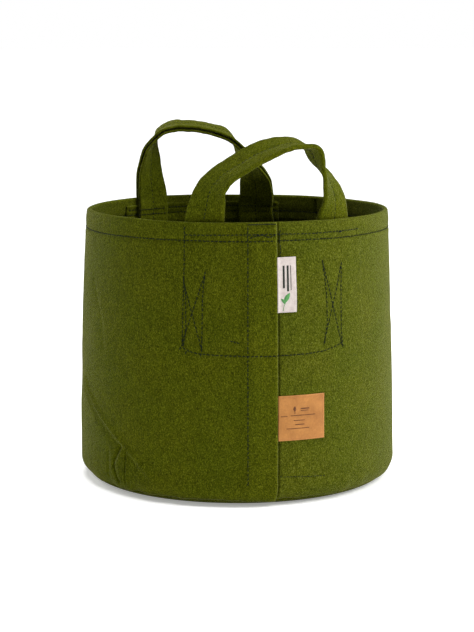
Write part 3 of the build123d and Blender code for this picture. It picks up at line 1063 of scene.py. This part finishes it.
def allowance(angle, height, lift=0.0):
    """The upper face of the turned-in seam edges inside the foot."""
    edge = foot_inner - base_allowance + 2.5
    r, z = foot_point(edge, base_seam_angle, felt + lift)
    up = outward(angle) * math.sin(base_seam_angle) + np.array([0.0, 0.0, 1.0]) * math.cos(base_seam_angle)
    return round_point(angle, r, z), up


ring_path = [(angle, 0.0) for angle in np.arange(0.0, 361.0, 5.0)]
sewn_piece("base_seam_stitches", [sew(allowance, ring_path, 121, 4.6, 3.5)], "base_seam_stitching", 122)


# Woven tag, folded over at its free edge

tag_start = seam_edge - 0.2
tag_depth = 0.8            # from the rear ply's outer face to the front ply's
tag_ply = 0.36


def tag_surface(x, z, lift=0.0):
    """A point of the tag at a distance from the lap and a height, lifted off its rear face."""
    share = np.clip(x / tag_width, 0.0, 1.0)
    angle = tag_start + x / tag_radius * 180 / math.pi
    stand = 0.5 + 0.5 * share + 0.45 * share**2 * np.sin((z - tag_low) / (tag_high - tag_low) * 5.2 + 0.5)
    stand = stand + 1.0 * (1 - ramp(x, 0.0, 3.0))
    r = wall_radius(z) + sag(angle, z) + stand + lift
    return round_point(angle, r, z + 0.25 * share)


def build_tag():
    columns = np.linspace(0.0, tag_width, 16)
    rows = np.linspace(tag_low + 0.2, tag_high - 0.2, 40)
    section = [(x, tag_depth) for x in columns]
    section += [(tag_width + 0.35, 0.62), (tag_width + 0.42, 0.4), (tag_width + 0.35, 0.16)]
    section += [(x, 0.0) for x in columns[::-1]]
    section += [(x, tag_ply) for x in columns]
    section += [(x, tag_depth - tag_ply) for x in columns[::-1]]
    points = [tag_surface(x, z, depth) for z in rows for x, depth in section]
    size = len(section)
    faces = tube_faces(size, len(rows))
    half = len(columns) + 3
    front_inner = list(range(size - 1, size - 1 - len(columns), -1))
    back_inner = list(range(half + len(columns), half + 2 * len(columns)))
    back_outer = list(range(half + len(columns) - 1, half - 1, -1))
    last = len(columns) - 1
    caps = []
    for i in range(last):
        caps.append([i, i + 1, front_inner[i + 1], front_inner[i]])
        caps.append([back_outer[i], back_inner[i], back_inner[i + 1], back_outer[i + 1]])
    caps.append([last, last + 1, last + 2, last + 3, back_outer[last], back_inner[last], front_inner[last]])
    top = (len(rows) - 1) * size
    faces += [cap[::-1] for cap in caps]
    faces += [[top + i for i in cap] for cap in caps]
    return make_object("woven_ribbon_tag", points, faces, ribbon)


tag = build_tag()
tag_root = float(tag_surface(0.5, 211.0)[0]) * MM
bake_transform(tag)
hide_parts("woven_tag")

# Shapes on the tag and the label: outline, place and turn in degrees
tag_bars = [
    (bar(21.0, 1.9), (6.4, 218.5), 90.0), (bar(24.0, 1.9), (10.4, 217.0), 90.0),
    (bar(23.0, 0.6), (13.4, 217.5), 90.0),
]
tag_leaves = [
    (leaf(11.0, 4.4, 0.6), (9.6, 198.6), 62.0), (leaf(7.0, 2.6, -0.4), (5.6, 195.6), 128.0),
    (bar(8.0, 0.5, 0.4), (6.6, 190.4), 74.0),
]
for name, shapes, ink in (("tag_bars", tag_bars, dark_print), ("tag_leaf", tag_leaves, green_print)):
    piece = marks(name, shapes, tag_surface, tag_depth, 0.12, ink)
    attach(piece, "tag")


# Leather label

def share_of(value, low, high):
    """Straight rise from 0 at low to 1 at high."""
    return np.clip((value - low) / (high - low), 0, 1)


def label_angle(x):
    return x / label_radius * 180 / math.pi


def label_surface(x, z, lift=0.0):
    """A point of the label at a distance from the lap and a height, lifted off its rear face."""
    angle = seam_edge + 0.05 + label_angle(x)
    middle = 85.0
    r = wall_radius(z) + sag(angle, middle) * 0.8 + 0.15 + lift
    r = r + 0.5 * share_of(x, 30.0, 47.5) ** 2 * share_of(z, 92.0, 106.0) ** 2
    return round_point(angle, r, z)


def build_label():
    columns = np.concatenate([np.linspace(0.0, 46.6, 48), [47.0, 47.3, 47.45]])
    low_rows = [label_low, label_low + 0.2, label_low + 0.5]
    high_rows = [label_high - 0.5, label_high - 0.2, label_high]
    rows = np.concatenate([low_rows, np.linspace(label_low + 0.9, label_high - 0.9, 42), high_rows])
    stitch_inset = 2.2

    def front(x, z):
        high_edge = share_of(z, label_high - 1.0, label_high)
        edge = np.maximum(share_of(-z, -label_low - 1.0, -label_low), high_edge)
        drop = 0.45 * np.maximum(share_of(x, label_width - 1.0, label_width), edge) ** 2
        sunk = 0.12 * hump(z, label_high - stitch_inset, 0.7)
        sunk = sunk + 0.12 * hump(z, label_low + stitch_inset, 0.7)
        sunk = sunk + 0.12 * hump(x, label_width - stitch_inset, 0.7)
        grain = 0.05 * lumps(x * 4, z * 2, 14.0, 301)
        return label_surface(x, z, label_thickness - (drop + sunk - grain))

    return plate("tan_leather_label", columns, rows, front, label_surface, leather)


label = build_label()
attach(label, "bag")
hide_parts("leather_label")


def on_label(x, z):
    """Points a little below the label's front face, and the outward directions there."""
    return label_surface(x, z, label_thickness - 0.12), outward(seam_edge + label_angle(x))


def straight(surface, start, end, pitch, length, seed):
    """Stitches in a straight row between two points of a flat piece."""
    rng = np.random.default_rng(seed)
    reach = math.hypot(end[0] - start[0], end[1] - start[1])
    count = int(reach / pitch)
    first = (np.arange(count) + 0.5) * reach / count - length / 2 + rng.normal(0.0, 0.08, count)
    dx, dz = (end[0] - start[0]) / reach, (end[1] - start[1]) / reach
    tip, out = surface(start[0] + dx * first, start[1] + dz * first)
    tail, _ = surface(start[0] + dx * (first + length), start[1] + dz * (first + length))
    return tip, tail, out


low, high, right = label_low + 2.0, label_high - 2.0, label_width - 2.2
corners = [(1.0, high), (right, high), (right, low), (1.0, low)]
label_rows = []
for n, (start, end) in enumerate(zip(corners, corners[1:])):
    label_rows.append(straight(on_label, start, end, 2.7, 1.7, 131 + n))
label_seam = stitches("label_stitches", label_rows, tan_thread, 134, 0.2)
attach(label_seam, "bag")
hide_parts("label_stitching")

label_shapes = [
    (leaf(5.6, 2.6, 0.2), (16.2, 93.6), 90.0), (bar(3.0, 0.5), (16.2, 90.4), 90.0),
    (bar(9.0, 1.0), (26.4, 93.6), 0.0), (bar(8.0, 0.6), (26.0, 91.7), 0.0),
    (bar(6.5, 0.6), (5.6, 87.0), 0.0), (bar(25.0, 0.6), (24.6, 87.3), 0.0),
    (bar(11.0, 0.6), (20.6, 82.6), 0.0), (bar(9.0, 0.8), (21.2, 78.6), 0.0),
    (bar(23.0, 0.6), (19.4, 75.0), 0.0),
]
label_mark = marks("label_marks", label_shapes, label_surface, label_thickness, 0.14, burnt_mark)
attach(label_mark, "bag")


# Floor, light and camera

def floor_face(depth):
    return lambda x, y: np.stack([x, y, 0.0 * x - depth], axis=-1)


def floor_material():
    n = Nodes("pale_floor")
    n.paint(n.ramp(n.noise(3.0, 3.0, 0.5), (0.3, (0.90,)), (0.7, (0.93,))))
    n.set(Roughness=0.9, Specular_IOR_Level=0.1)
    # The floor glows faintly: painted light that lightens the bag's shadow on it
    n.set(Emission_Color=(1.0, 1.0, 1.0, 1.0), Emission_Strength=0.3)
    return n.material


floor_places = np.linspace(-30000.0, 30000.0, 3)
floor = plate("floor", floor_places, floor_places, floor_face(0.0), floor_face(20.0), floor_material())


def point_along(thing, place, direction):
    thing.location = place
    thing.rotation_mode = "QUATERNION"
    thing.rotation_quaternion = direction.to_track_quat("-Z", "Y")


def area_light(name, place, size, power):
    """A soft light aimed at the bag."""
    data = bpy.data.lights.new(name, "AREA")
    data.shape = "RECTANGLE"
    data.size, data.size_y = size
    data.energy = power
    point_along(add_object(name, data), place, Vector((0.0, 0.0, 0.15)) - Vector(place))


area_light("key_right", (1.35, -0.5, 1.2), (0.9, 1.2), 34.0)
area_light("rim_left", (-1.0, 1.05, 0.5), (0.7, 1.0), 13.0)
overhead = bpy.data.lights.new("overhead", "SUN")
overhead.energy = 2.75
overhead.angle = math.radians(35.0)
add_object("overhead", overhead)

world = bpy.data.worlds.new("studio")
bpy.context.scene.world = world
world.use_nodes = True
nodes, links = world.node_tree.nodes, world.node_tree.links
background = nodes["Background"]
background.inputs["Color"].default_value = (1.0, 1.0, 1.0, 1.0)
seen = nodes.new("ShaderNodeLightPath")
strength = nodes.new("ShaderNodeMapRange")
strength.inputs["To Min"].default_value = 0.25
strength.inputs["To Max"].default_value = 1.0
links.new(seen.outputs["Is Camera Ray"], strength.inputs["Value"])
links.new(strength.outputs["Result"], background.inputs["Strength"])

scene = bpy.context.scene
scene.view_settings.view_transform = "Standard"
scene.view_settings.look = "None"

camera_data = bpy.data.cameras.new("camera")
camera_data.lens = 109.08
camera_data.sensor_width = 36.0
camera_data.sensor_fit = "AUTO"
camera = add_object("camera", camera_data)
azimuth = math.radians(-12.8)
elevation = math.radians(8.72)
distance = 1.935
aim = Vector((-0.00036, 0.00008, 0.1591))
away = Vector((
    math.sin(azimuth) * math.cos(elevation),
    -math.cos(azimuth) * math.cos(elevation),
    math.sin(elevation),
))
point_along(camera, aim + away * distance, -away)
scene.camera = camera
